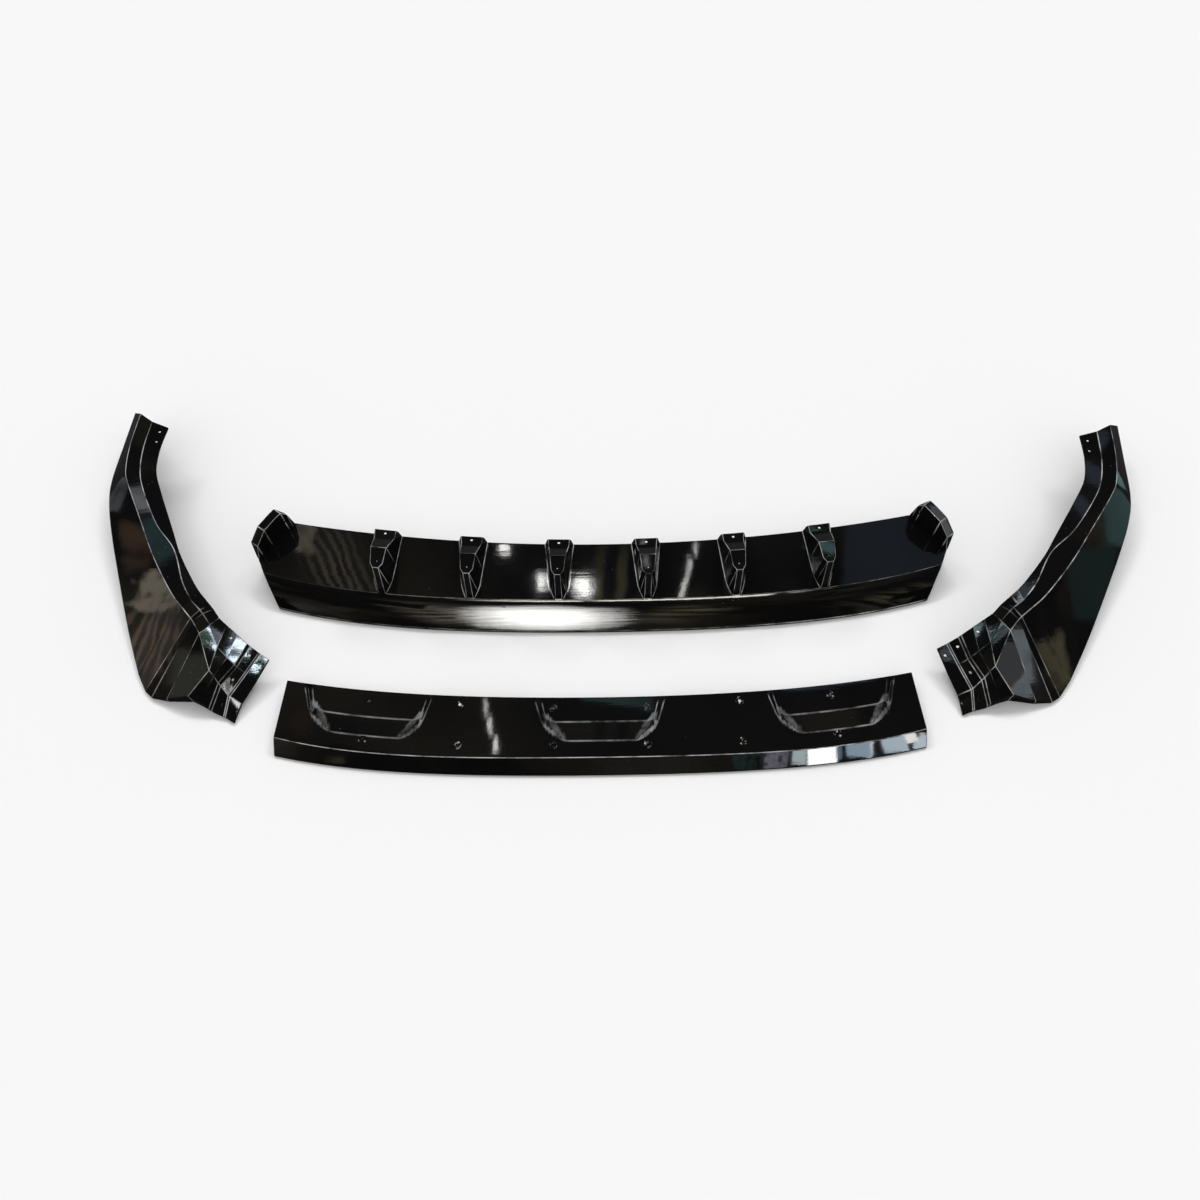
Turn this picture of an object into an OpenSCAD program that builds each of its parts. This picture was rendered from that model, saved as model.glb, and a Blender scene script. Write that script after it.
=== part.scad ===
// Front splitter lip in four moulded panels, laid out flat on the ground.
// X runs to the car's left-right width, Y to the rear, Z up, all in millimetres.

/* [Moulding] */
// Wall thickness of every panel
wall = 3; // [2.4:0.1:4]
// Diameter of the screw holes
hole_d = 5; // [4:0.5:6.5]
// Diameter of the flat round seat around a screw hole
seat_d = 13; // [10:0.5:15]

/* [Upper centre panel] */
// Half length at the front lip
upper_half_lip = 549; // [500:1:600]
// How much longer each end is at the crease than at the lip
upper_crease_out = 26; // [15:1:35]
// How much longer each end is at the front of the ear than at the lip
upper_ear_out = 39; // [30:1:45]
// How much shorter each end is at the rear edge than at the lip
upper_rear_in = 14; // [5:1:25]
// Depth of the sloping blade in front of the crease
blade_depth = 45; // [40:1:55]
// Height of the flat deck above the ground
deck_height = 33; // [28:1:40]
// Depth of the deck behind the crease
deck_depth = 107.5; // [100:0.5:120]
// Height of the upright lip along the front edge
lip_height = 5; // [4:0.5:7]
// Outward bulge of the blade between lip and crease
blade_bulge = 4.5; // [2:0.5:7]
// Even part of the rearward bow at the ends of the front edge
front_bow = 26; // [15:1:40]
// Late part of the rearward bow at the ends of the front edge
front_sweep = 26; // [15:1:40]
// Rearward bow at the ends of the rear edge
rear_bow = 54; // [40:1:65]

/* [Fins] */
// Number of fins along the deck
fin_count = 6; // [4:2:6]
// Spacing of the fins, and of the screw holes of the lower plate
fin_pitch = 148; // [130:1:155]
// Width of the screw tab at the rear of a fin
tab_width = 37; // [30:1:44]
// Width of a fin where it meets the rear of the deck
fin_base_width = 49; // [44:1:56]
// Height of the screw tab above the deck
tab_height = 21; // [16:1:26]
// Height of the fin's peak above the deck
fin_height = 60; // [50:1:70]
// Distance of the tab's hole from the rear edge
tab_hole_inset = 9.5; // [7:0.5:12]

/* [Ears] */
// Height of the upright ear plates above the deck
ear_height = 53; // [35:1:60]
// Width of the rim that folds outward along the ear's top
ear_rim = 14; // [8:0.5:18]

/* [Lower centre plate] */
// Half length at the bottom of the front face
plate_half_foot = 511; // [470:1:560]
// Depth from the foot of the front face to the rear edge
plate_depth = 121.5; // [112:0.5:130]
// Height of the plate's top above the ground
plate_height = 22; // [18:1:28]
// Backward lean of the front face over its height
face_lean = 22; // [16:0.5:28]
// Even part of the rearward bow at the ends of the plate
plate_bow = 17; // [8:1:25]
// Late part of the rearward bow at the ends of the plate
plate_sweep = 21; // [10:1:30]
// Depth of the three pockets
pocket_depth = 10; // [7:0.5:13]
// Width of the middle pocket at the rear
pocket_width = 208; // [190:1:220]
// Distance from the front crease to the pockets
pocket_inset = 27; // [24:1:32]
// Length of the long slope at the front of a pocket
pocket_slope = 35; // [25:1:42]
// Rearward lean of the pockets' rear edge over their depth
pocket_lean = 4; // [0:0.5:8]

/* [Corner panels] */
// Length of a corner panel from its front edge to its tip, front to back
corner_length = 585; // [556:1:614]
// Height of the corner panels' highest crease
corner_height = 85; // [75:1:92]

/* [Layout] */
// Place of the upper panel's front lip on the ground
upper_at = [-31, -92.5];
// Place of the lower plate's foot on the ground
plate_at = [-39, -339];
// Place of the left corner's front point on the ground
left_at = [-768, -198];
// Place of the right corner's front point on the ground
right_at = [691.1, -227.4];
// Turn of the right corner panel about its front point
right_turn = 10.3; // [0:0.1:14]

/* [Hidden] */
gloss_black = [0.02, 0.02, 0.022];
over = 1;
$fn = 32;

// Closed solid between an upper and a lower grid of points
module sheet(upper, lower) {
    n = len(upper);
    m = len(upper[0]);
    function top(i, j) = i * m + j;
    function low(i, j) = n * m + i * m + j;
    function tiles(a, b, c, d) = [[a, b, c], [a, c, d]];
    skin = [for (i = [0:n - 2], j = [0:m - 2])
        each tiles(top(i, j), top(i, j + 1), top(i + 1, j + 1), top(i + 1, j))];
    underside = [for (i = [0:n - 2], j = [0:m - 2])
        each tiles(low(i, j), low(i + 1, j), low(i + 1, j + 1), low(i, j + 1))];
    front = [for (i = [0:n - 2])
        each tiles(low(i, 0), top(i, 0), top(i + 1, 0), low(i + 1, 0))];
    rear = [for (i = [0:n - 2])
        each tiles(low(i + 1, m - 1), top(i + 1, m - 1), top(i, m - 1), low(i, m - 1))];
    start = [for (j = [0:m - 2])
        each tiles(low(0, j + 1), top(0, j + 1), top(0, j), low(0, j))];
    end = [for (j = [0:m - 2])
        each tiles(low(n - 1, j), top(n - 1, j), top(n - 1, j + 1), low(n - 1, j + 1))];
    polyhedron(
        points = concat([for (row = upper) each row], [for (row = lower) each row]),
        faces = concat(skin, underside, front, rear, start, end));
}

// Solid from a grid straight down to one level
module block_under(grid, level) {
    sheet(grid, [for (row = grid) [for (p = row) [p.x, p.y, level]]]);
}

// Rearward bow of an edge: an even part and a part that grows near the ends
function bowed(x, half, bow, sweep) = bow * pow(x / half, 2) + sweep * pow(x / half, 4);

// One rail of a panel: half length, depth, height, bow and sweep
function rail_point(rail, t, half) = [
    rail[0] * t,
    rail[1] + bowed(rail[0] * t, half, rail[3], rail[4]),
    rail[2]];
function rail_grid(rails, half, steps) =
    [for (i = [-steps:steps]) [for (r = rails) rail_point(r, i / steps, half)]];

// Upper centre panel: rails from the lip over the blade to the rear of the deck
upper_steps = 18;
crease_y = blade_depth;
rear_y = blade_depth + deck_depth;
half_crease = upper_half_lip + upper_crease_out;
half_ear = upper_half_lip + upper_ear_out;
half_rear = upper_half_lip - upper_rear_in;
ear_front_y = crease_y + 0.23 * deck_depth;

function blade_rail(k, inset) = [
    upper_half_lip + k * upper_crease_out - inset,
    k * blade_depth + inset * (1 - k),
    lip_height + k * (deck_height - lip_height) + 4 * blade_bulge * k * (1 - k) - inset,
    front_bow, front_sweep];
function upper_rails(inset, rear_run) = [
    for (k = [0:0.25:1]) blade_rail(k, inset),
    [half_ear - inset, ear_front_y, deck_height - inset, front_bow, front_sweep],
    [half_rear - inset, rear_y + rear_run, deck_height - inset, rear_bow, 0]];

function upper_rear(x) = rear_y + bowed(x, upper_half_lip, rear_bow, 0);
function upper_crease(x) = crease_y + bowed(x, upper_half_lip, front_bow, front_sweep);

// Fin stations: share of the length from the rear, height, top and base half widths
fin_form = [
    [0, tab_height, tab_width / 2, fin_base_width / 2],
    [0.15, tab_height, 0.93 * tab_width / 2, 0.92 * fin_base_width / 2],
    [0.5, 0.9 * fin_height, 0.71 * tab_width / 2, 0.76 * fin_base_width / 2],
    [0.78, 0.95 * fin_height, 0.56 * tab_width / 2, 0.62 * fin_base_width / 2],
    [0.87, fin_height, 0.27 * tab_width / 2, 0.5 * fin_base_width / 2],
    [0.99, 0.4, 0.3 * tab_width / 2, 0.3 * fin_base_width / 2]];
// Forward lean of a tab's rear face over its height
tab_lean = 3;

fin_peak_from = 0.8;
// Small drain hole in the slope behind the peak: share of the length, diameter
drain_at = 0.74;
drain_d = 3.5;

// Depth of a point at a share of the way from the deck's rear edge to its crease
function deck_y(x, share) = upper_rear(x) - share * (upper_rear(x) - upper_crease(x));

function fin_row(at, s, out, inset, drop, lean) = [
    for (c = [[-s[3] + inset, -drop, 0], [-s[2] + inset, s[1] - inset, lean],
            [s[2] - inset, s[1] - inset, lean], [s[3] - inset, -drop, 0]])
        [at + c[0], deck_y(at + c[0], s[0]) + out - c[2], deck_height + c[1]]];

module fin_solid(at) {
    rows = [for (s = fin_form) fin_row(at, s, 0, 0, 0, s[0] == 0 ? tab_lean : 0)];
    block_under(rows, deck_height - wall / 2);
}

// Hollow below a fin, open to the rear and through the deck
module fin_hollow(at) {
    inner = [for (s = fin_form) [
        s[0] > fin_peak_from ? s[0] - wall / 80 : s[0],
        max(s[1], wall + over),
        max(s[2], wall + over),
        s[3]]];
    mouth = fin_row(at, inner[0], wall + over, wall, wall, 0);
    rows = [for (s = inner) fin_row(at, s, 0, wall, wall, 0)];
    block_under(concat([mouth], rows), deck_height - 3 * wall);
}

module fin_drain(at) {
    translate([at, deck_y(at, drain_at), deck_height])
        cylinder(h = fin_height + over, d = drain_d);
}

function fin_x(i) = (i - (fin_count - 1) / 2) * fin_pitch;

// Ear: upright plate from the rear corner to the front of the ear, with a rim
ear_rear = [half_rear, upper_rear(half_rear)];
ear_front = [half_ear, ear_front_y + bowed(half_ear, upper_half_lip, front_bow, front_sweep)];
ear_run = norm(ear_front - ear_rear);
ear_turn = atan2(ear_front.y - ear_rear.y, ear_front.x - ear_rear.x);
ear_edge = [[0.08, 0.72], [0.18, 1], [0.34, 0.99], [0.63, 0.92], [0.9, 0.55], [0.98, 0.12]];
ear_hole = [0.17, 0.55];

module ear() {
    edge = [for (p = ear_edge) [p[0] * ear_run, p[1] * ear_height]];
    sill = wall / 2;
    translate([ear_rear.x, ear_rear.y, deck_height])
        rotate([0, 0, ear_turn]) {
            rotate([90, 0, 0])
                linear_extrude(height = wall)
                    difference() {
                        polygon(concat([[0, -sill], [0, over]], edge,
                            [[ear_run, over], [ear_run, -sill]]));
                        translate([ear_hole[0] * ear_run, ear_hole[1] * ear_height])
                            circle(d = hole_d);
                    }
            ear_flange([for (i = [1:5]) edge[i]]);
        }
}

module ear_flange(edge) {
    width = [for (i = [0:4]) ear_rim * (i < 4 ? 1 : 0.3)];
    upper = [for (i = [0:4]) [
        [edge[i].x, -wall, edge[i].y],
        [edge[i].x, width[i], edge[i].y - 0.12 * width[i]]]];
    lower = [for (row = upper) [for (p = row) p - [0, 0, wall]]];
    sheet(upper, lower);
}

module upper_centre_splitter() {
    color(gloss_black)
    translate([upper_at.x, upper_at.y, 0])
        difference() {
            union() {
                difference() {
                    block_under(rail_grid(upper_rails(0, 0), upper_half_lip, upper_steps), 0);
                    block_under(rail_grid(upper_rails(wall, 2 * wall), upper_half_lip, upper_steps), -over);
                }
                for (i = [0:fin_count - 1]) fin_solid(fin_x(i));
                ear();
                mirror([1, 0, 0]) ear();
            }
            for (i = [0:fin_count - 1]) {
                fin_hollow(fin_x(i));
                translate([fin_x(i), upper_rear(fin_x(i)) - tab_hole_inset, deck_height])
                    cylinder(h = tab_height + over, d = hole_d);
                fin_drain(fin_x(i));
            }
        }
}

// Lower centre plate: a leaning front face and a flat top with three pockets
plate_steps = 14;
plate_foot = 3;
crease_in = 1;
rear_in = 9;
function plate_rails(inset, rear_run) = [
    [plate_half_foot - inset, inset, plate_foot, plate_bow, plate_sweep],
    [plate_half_foot - crease_in - inset, face_lean + inset, plate_height - inset,
        0.6 * plate_bow, 1.4 * plate_sweep],
    [plate_half_foot - rear_in - inset, plate_depth + rear_run, plate_height - inset,
        1.55 * plate_bow, 0.55 * plate_sweep]];
function plate_crease(x) = face_lean + bowed(x, plate_half_foot, 0.6 * plate_bow, 1.4 * plate_sweep);
function plate_rear(x) = plate_depth + bowed(x, plate_half_foot, 1.55 * plate_bow, 0.55 * plate_sweep);

// Point of a rounded pocket corner, as a curve from a over b to c
function corner_curve(a, b, c, steps) =
    [for (k = [0:steps]) let (t = k / steps)
        (1 - t) * (1 - t) * a + 2 * t * (1 - t) * b + t * t * c];

// Pocket outline, from rear to front on one side and back on the other
function pocket_outline(at, half_rear, half_front, front_in, side_in, run) =
    let (
        xl = at - half_front + side_in,
        xr = at + half_front - side_in,
        rl = at - half_rear + side_in,
        rr = at + half_rear - side_in,
        fl = [xl, plate_crease(xl) + front_in],
        fr = [xr, plate_crease(xr) + front_in],
        rear = [for (t = [1, 0.75, 0.5, 0.25, 0]) let (x = rl + t * (rr - rl)) [x, plate_rear(x) + run]],
        bl = rear[4],
        br = rear[0],
        r = 0.3)
    concat(
        corner_curve(fl + r * (bl - fl), fl, fl + 0.17 * (fr - fl), 4),
        corner_curve(fr + 0.17 * (fl - fr), fr, fr + r * (br - fr), 4),
        rear);

module pocket_layer(lower_outline, upper_outline, low_z, top_z) {
    n = len(lower_outline);
    ring = [for (p = lower_outline) [p.x, p.y, low_z], for (p = upper_outline) [p.x, p.y, top_z]];
    sides = [for (i = [0:n - 1]) let (j = (i + 1) % n)
        each [[i, n + i, n + j], [i, n + j, j]]];
    polyhedron(
        points = ring,
        faces = concat([[for (i = [0:n - 1]) i]], [[for (i = [n - 1:-1:0]) n + i]], sides));
}

half_pocket_front = 0.37 * pocket_width;
side_slope = pocket_depth * 0.9;
module pocket_solid(at) {
    pocket_layer(
        pocket_outline(at, pocket_width / 2, half_pocket_front,
            pocket_inset + pocket_slope - wall, side_slope - wall, wall / 3 + pocket_lean),
        pocket_outline(at, pocket_width / 2, half_pocket_front,
            pocket_inset - wall, -wall, wall / 3),
        plate_height - pocket_depth - wall, plate_height - wall / 3);
}

module pocket_void(at) {
    pocket_layer(
        pocket_outline(at, pocket_width / 2, half_pocket_front,
            pocket_inset + pocket_slope, side_slope, 2 * wall + pocket_lean),
        pocket_outline(at, pocket_width / 2, half_pocket_front,
            pocket_inset - 0.1 * pocket_slope, -0.1 * side_slope, 2 * wall + pocket_lean),
        plate_height - pocket_depth, plate_height + 0.1 * pocket_depth);
}

pocket_pitch = 2.5 * fin_pitch;
hole_rear_inset = 14;
hole_front_inset = 20;
seat_depth = 1;

// Screw hole with a flat round seat sunk into the sheet
module seated_hole(at, level) {
    translate([at.x, at.y, level - 3 * wall]) cylinder(h = 6 * wall, d = hole_d);
    translate([at.x, at.y, level - seat_depth]) cylinder(h = seat_depth + over, d = seat_d);
}

module lower_centre_plate() {
    color(gloss_black)
    translate([plate_at.x, plate_at.y, 0])
        difference() {
            union() {
                difference() {
                    block_under(rail_grid(plate_rails(0, 0), plate_half_foot, plate_steps), 0);
                    block_under(rail_grid(plate_rails(wall, 2 * wall), plate_half_foot, plate_steps), -over);
                }
                for (k = [-1:1]) pocket_solid(k * pocket_pitch);
            }
            for (k = [-1:1]) pocket_void(k * pocket_pitch);
            for (i = [0:5]) {
                x = (i - 2.5) * fin_pitch;
                low = (i == 1 || i == 4) ? 0 : pocket_depth;
                seated_hole([x, plate_rear(x) - hole_rear_inset], plate_height - low);
                seated_hole([x, plate_crease(x) + hole_front_inset], plate_height);
            }
        }
}

// Corner panel rails, from the rear tip round to the end that meets the centre.
// Each station gives the outer edge, the main crease, the second crease and the
// inner edge; heights are shares of the highest crease.
corner_stations = [
    [[-115, 537, 0.68], [-88, 513, 1], [-66, 498, 0.95], [-40, 491, 0.85]],
    [[-124, 465, 0.6], [-96, 455, 0.92], [-72, 442, 0.9], [-46, 445, 0.84]],
    [[-132, 396, 0.52], [-96, 405, 0.86], [-68, 394, 0.88], [-43, 400, 0.85]],
    [[-129, 350, 0.45], [-86, 372, 0.85], [-53, 352, 0.89], [-28, 360, 0.87]],
    [[-114, 291, 0.37], [-42, 285, 0.88], [-14, 281, 0.94], [12, 275, 0.92]],
    [[-87, 207, 0.25], [-6, 217, 0.94], [28, 228, 0.99], [38, 221, 0.98]],
    [[-55, 115, 0.14], [38, 148, 0.99], [54, 166, 1], [70, 168, 0.98]],
    [[-24, 38, 0.07], [64, 117, 1], [76, 130, 1], [86, 146, 0.97]]];
corner_front = [
    [[-7, 8, 0.05], [80, 99, 1], [92, 114, 0.99], [104, 126, 0.92]],
    [[6, -3, 0.06], [84, 94, 0.98], [97, 108, 0.97], [110, 119, 0.9]],
    [[34, -9, 0.13], [95, 76, 0.9], [108, 92, 0.87], [120, 105, 0.85]],
    [[74, -10, 0.3], [109, 25, 0.55], [120, 60, 0.7], [132, 95, 0.79]],
    [[92, -19, 0.22], [115, 18, 0.46], [136, 45, 0.6], [148, 82, 0.69]],
    [[106, -27, 0.16], [121, 9, 0.38], [146, 36, 0.5], [163, 70, 0.58]],
    [[109, -29, 0.11], [124, 6, 0.32], [149, 34, 0.45], [166, 68, 0.53]],
    [[129, -38, 0.08], [136, -8, 0.25], [160, 27, 0.36], [179, 60, 0.42]],
    [[131, -39, 0.06], [138, -9, 0.22], [162, 26, 0.33], [181, 59, 0.39]],
    [[146, -48, 0.05], [156, -19, 0.15], [175, 14, 0.24], [194, 51, 0.33]]];

// Smooth curve through four neighbouring points
function spline(a, b, c, d, t) =
    b + 0.5 * t * (c - a + t * (2 * a - 5 * b + 4 * c - d + t * (3 * (b - c) + d - a)));
function smooth_row(rows, i, t) = [for (j = [0:3])
    spline(rows[max(i - 1, 0)][j], rows[i][j], rows[i + 1][j],
        rows[min(i + 2, len(rows) - 1)][j], t)];
corner_rows = concat(
    [for (i = [0:len(corner_stations) - 2], k = [0:2]) smooth_row(corner_stations, i, k / 3)],
    [corner_stations[len(corner_stations) - 1]],
    corner_front);

function corner_sized(p) = [p.x * corner_length / 585, p.y * corner_length / 585, p.z * corner_height];
// Unit step from the outer edge toward the inside of the panel
function inward(row) =
    let (d = [row[1].x - row[0].x, row[1].y - row[0].y])
    [d.x, d.y, 0] / norm(d);

// Outer skin of one station: foot of the skirt, then the four rails
function corner_skin(row) =
    let (r = [for (p = row) corner_sized(p)])
    concat([[r[0].x, r[0].y, 0]], r);
// Inner skin of one station, a wall thickness inside
function corner_lining(row) =
    let (r = [for (p = row) corner_sized(p)], in = inward(r))
    concat(
        [[r[0].x, r[0].y, 0] + wall * in],
        [[r[0].x, r[0].y, r[0].z - wall] + wall * in],
        [for (j = [1:3]) r[j] - [0, 0, 1.2 * wall]]);

// Screw holes of a corner: two in the end flange, four by the steps, two at the tip
corner_holes = [[181, 41, 0.34], [149, -30, 0.1], [165, 54, 0.42], [125, -20, 0.2],
    [142, 16, 0.4], [139, 76, 0.74], [-52, 480, 0.88], [-54, 459, 0.86]];

module corner() {
    color(gloss_black)
    difference() {
        sheet(
            [for (row = corner_rows) corner_skin(row)],
            [for (row = corner_rows) corner_lining(row)]);
        for (h = corner_holes)
            translate(corner_sized(h) - [0, 0, 6 * wall])
                cylinder(h = 12 * wall, d = hole_d);
    }
}

module left_corner() {
    translate([left_at.x, left_at.y, 0]) corner();
}

module right_corner() {
    translate([right_at.x, right_at.y, 0])
        rotate([0, 0, -right_turn])
            mirror([1, 0, 0]) corner();
}

upper_centre_splitter();
lower_centre_plate();
left_corner();
right_corner();
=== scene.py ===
import math

import bpy
import bmesh
import numpy as np
from mathutils import Matrix, Vector
from mathutils.interpolate import poly_3d_calc


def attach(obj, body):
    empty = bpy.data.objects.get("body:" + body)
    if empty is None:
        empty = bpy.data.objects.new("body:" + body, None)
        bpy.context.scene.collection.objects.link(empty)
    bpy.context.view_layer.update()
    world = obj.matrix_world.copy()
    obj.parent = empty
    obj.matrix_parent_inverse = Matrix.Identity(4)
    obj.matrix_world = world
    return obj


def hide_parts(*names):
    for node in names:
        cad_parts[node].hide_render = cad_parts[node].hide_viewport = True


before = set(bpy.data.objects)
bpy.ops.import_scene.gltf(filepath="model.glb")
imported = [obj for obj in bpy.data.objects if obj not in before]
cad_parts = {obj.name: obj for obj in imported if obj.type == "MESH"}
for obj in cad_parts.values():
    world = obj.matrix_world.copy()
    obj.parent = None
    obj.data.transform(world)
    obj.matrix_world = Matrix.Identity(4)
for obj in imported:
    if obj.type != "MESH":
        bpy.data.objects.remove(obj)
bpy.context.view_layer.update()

# The panels are worked out in millimetres and built in metres
MM = 0.001
# Thickness of the sheets, radius of the screw holes
WALL, HOLE = 3.0, 2.5

# Places of the panels, as in the part's source, and the turn of the right corner in degrees
UPPER_AT = (-31.0, -92.5)
PLATE_AT = (-39.0, -339.0)
LEFT_AT = (-768.0, -198.0)
RIGHT_AT = (691.1, -227.4)
RIGHT_TURN = 10.3

# Marked folds get a painted highlight: the angle in degrees from which one is sharp, and the angle over which
# its highlight grows to full
FOLD_FROM, FOLD_OVER = 7, 16
# Places along a rounded fold, and how much each lies on it, which sets its painted highlight
FOLD_STEPS = ((0, 0), (0.25, 0.8), (0.5, 1), (0.75, 0.8), (1, 0))
# Most of a cell that a rounding takes, and the size below which two cells make no fold
CELL_SHARE, TINY_CELL = 0.45, 0.02
# Found bends, which get a painted highlight: first angle, angle over which they grow, highest level, smallest
# cell
BEND_FROM, BEND_OVER, BEND_MOST, TINY_AREA = 2.5, 9, 0.42, 0.01
# Points of a grid without found bends: at its sides, in front of and behind the flat
BARE_SIDE, BARE_FRONT, BARE_REAR = 14, 22, 7
# Reach of the rounding of a rim
RIM = 0.9
# In metres: points that are one, and edges without a length
MERGE, COLLAPSE = 0.00002, 0.00001
# Sides of a turned body, angle in degrees from which an edge stays sharp, weight of large faces
ROUND_STEPS, SHARP_ANGLE, FACE_WEIGHT = 32, 38, 60


# Mesh helpers
def soften(grid, folds, marks, axis):
    """Rounds the folds of a grid of points: marks gives {index: reach in mm}.

    folds holds the painted highlight of each point, by how much it lies on a sharp fold, from 0 to 1;
    a negative reach rounds a fold without painting a highlight on it."""
    g, w = np.moveaxis(grid, axis, 0), np.moveaxis(folds, axis, 0)
    out, painted_highlight = [], []
    last = len(g) - 1
    for k in range(len(g)):
        reach = abs(marks.get(k, 0))
        if not reach or k in (0, last):
            out.append(g[k])
            painted_highlight.append(w[k])
            continue
        before, after = g[k - 1] - g[k], g[k + 1] - g[k]
        len_b = np.linalg.norm(before, axis=-1, keepdims=True) + 1e-9
        len_a = np.linalg.norm(after, axis=-1, keepdims=True) + 1e-9
        bend = np.degrees(np.arccos(np.clip((-before * after / len_b / len_a).sum(-1), -1, 1)))
        sharp = np.clip((bend - FOLD_FROM) / FOLD_OVER, 0, 1) * (marks[k] > 0)
        sharp = np.where((len_a + len_b)[..., 0] < TINY_CELL, 0, sharp)
        start = g[k] + before * np.minimum(reach / len_b, CELL_SHARE)
        end = g[k] + after * np.minimum(reach / len_a, CELL_SHARE)
        for t, f in FOLD_STEPS:
            out.append((1 - t) ** 2 * start + 2 * t * (1 - t) * g[k] + t * t * end)
            painted_highlight.append(np.maximum(w[k], f * sharp))
    return np.moveaxis(np.array(out), 0, axis), np.moveaxis(np.array(painted_highlight), 0, axis)


def bends(grid):
    """How sharply a grid bends at each of its points, from 0 to 1, away from its rims."""
    normal = np.cross(grid[1:, :-1] - grid[:-1, :-1], grid[:-1, 1:] - grid[:-1, :-1])
    area = np.linalg.norm(normal, axis=-1)
    normal = normal / (area[..., None] + 1e-12)

    def turn(cells, others):
        """Degrees between the cells of two index ranges."""
        angle = np.degrees(np.arccos(np.clip((normal[cells] * normal[others]).sum(-1), -1, 1)))
        return np.where(np.minimum(area[cells], area[others]) < TINY_AREA, 0, angle)
    every, later, earlier = slice(None), slice(1, None), slice(None, -1)
    w = np.zeros(grid.shape[:2])
    w[1:-1, 1:] = turn((later, every), (earlier, every))
    w[1:, 1:-1] = np.maximum(w[1:, 1:-1], turn((every, later), (every, earlier)))
    w[:BARE_SIDE] = w[-BARE_SIDE:] = 0
    w[:, :BARE_FRONT] = w[:, -BARE_REAR:] = 0
    return np.clip((w - BEND_FROM) / BEND_OVER, 0, BEND_MOST)


def closed_shell(bm, skin, lining, across, along, find_bends=False, dim=None):
    """Adds a sheet with thickness: the skin, the lining under it and rounded rims.

    across and along mark the folds of the grid's two directions, which get a painted highlight;
    find_bends adds painted highlight on bends found in the skin, and dim gives the
    share of a fold's painted highlight that is kept at each point."""
    outer = np.pad(lining, ((1, 1), (1, 1), (0, 0)), mode="edge")
    inner = outer.copy()
    outer[1:-1, 1:-1] = skin
    padded = []
    for marks, count in ((across, skin.shape[0]), (along, skin.shape[1])):
        padded.append({1: -RIM, count: -RIM, **{k + 1: v for k, v in marks.items()}})
    flat = np.zeros(outer.shape[:2])
    outer, folds = soften(*soften(outer, flat, padded[0], 0), padded[1], 1)
    inner, _ = soften(*soften(inner, flat, padded[0], 0), padded[1], 1)
    # Bends found in the skin get a painted highlight as well
    if find_bends:
        folds = np.maximum(folds, bends(outer))
    if dim:
        folds = folds * dim(outer)
    n, m = outer.shape[:2]
    # The painted highlight of each point is kept in the vertex attribute fold
    layer = bm.verts.layers.float.get("fold") or bm.verts.layers.float.new("fold")

    def vert(at, fold):
        v = bm.verts.new(at * MM)
        v[layer] = fold
        return v
    top = [[vert(outer[i, j], folds[i, j]) for j in range(m)] for i in range(n)]
    low = [[top[i][j] if i in (0, n - 1) or j in (0, m - 1) else vert(inner[i, j], 0)
            for j in range(m)] for i in range(n)]
    for i in range(n - 1):
        for j in range(m - 1):
            bm.faces.new((top[i][j], top[i + 1][j], top[i + 1][j + 1], top[i][j + 1]))
            ring = (low[i][j], low[i][j + 1], low[i + 1][j + 1], low[i + 1][j])
            if not bm.faces.get(ring):
                bm.faces.new(ring)


def add_object(name, data):
    """Adds an object with this data to the scene."""
    obj = bpy.data.objects.new(name, data)
    bpy.context.collection.objects.link(obj)
    return obj


def mesh_object(name, bm):
    """Turns a bmesh into an object of the scene."""
    mesh = bpy.data.meshes.new(name)
    bm.to_mesh(mesh)
    bm.free()
    return add_object(name, mesh)


def rectangle(name, w, h):
    """Adds a flat rectangle with these half sides."""
    mesh = bpy.data.meshes.new(name)
    mesh.from_pydata([(-w, -h, 0), (w, -h, 0), (w, h, 0), (-w, h, 0)], [], [(0, 1, 2, 3)])
    return add_object(name, mesh)


def finish_mesh(name, bm):
    bmesh.ops.remove_doubles(bm, verts=bm.verts, dist=MERGE)
    bmesh.ops.dissolve_degenerate(bm, dist=COLLAPSE, edges=bm.edges)
    bmesh.ops.recalc_face_normals(bm, faces=bm.faces)
    return mesh_object(name, bm)


def apply_modifiers(obj):
    graph = bpy.context.evaluated_depsgraph_get()
    mesh = bpy.data.meshes.new_from_object(obj.evaluated_get(graph))
    obj.modifiers.clear()
    obj.data = mesh


def turned(bm, profile, centre, axis_matrix=None):
    """Adds a closed turned body: profile of (radius, height) from bottom to top."""
    rings = []
    for r, h in profile:
        ring = []
        for s in range(ROUND_STEPS if r > 0 else 1):
            a = 2 * math.pi * s / ROUND_STEPS
            p = Vector((r * math.cos(a), r * math.sin(a), h))
            if axis_matrix is not None:
                p = axis_matrix @ p
            ring.append(bm.verts.new((p + Vector(centre)) * MM))
        rings.append(ring)
    for low, high in zip(rings, rings[1:]):
        for s in range(ROUND_STEPS):
            t = (s + 1) % ROUND_STEPS
            quad = [low[s % len(low)], low[t % len(low)], high[t % len(high)], high[s % len(high)]]
            bm.faces.new(list(dict.fromkeys(quad)))


def pin(radius, low, high):
    """Profile of a plain pin that cuts a hole."""
    return [(0, low), (radius, low), (radius, high), (0, high)]


def cut(obj, cutter_bm):
    """Takes the cutter's bodies out of an object."""
    bmesh.ops.recalc_face_normals(cutter_bm, faces=cutter_bm.faces)
    cutter = mesh_object("cutter", cutter_bm)
    mod = obj.modifiers.new("holes", "BOOLEAN")
    mod.operation = "DIFFERENCE"
    mod.solver = "EXACT"
    mod.object = cutter
    apply_modifiers(obj)
    bpy.data.objects.remove(cutter)


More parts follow.
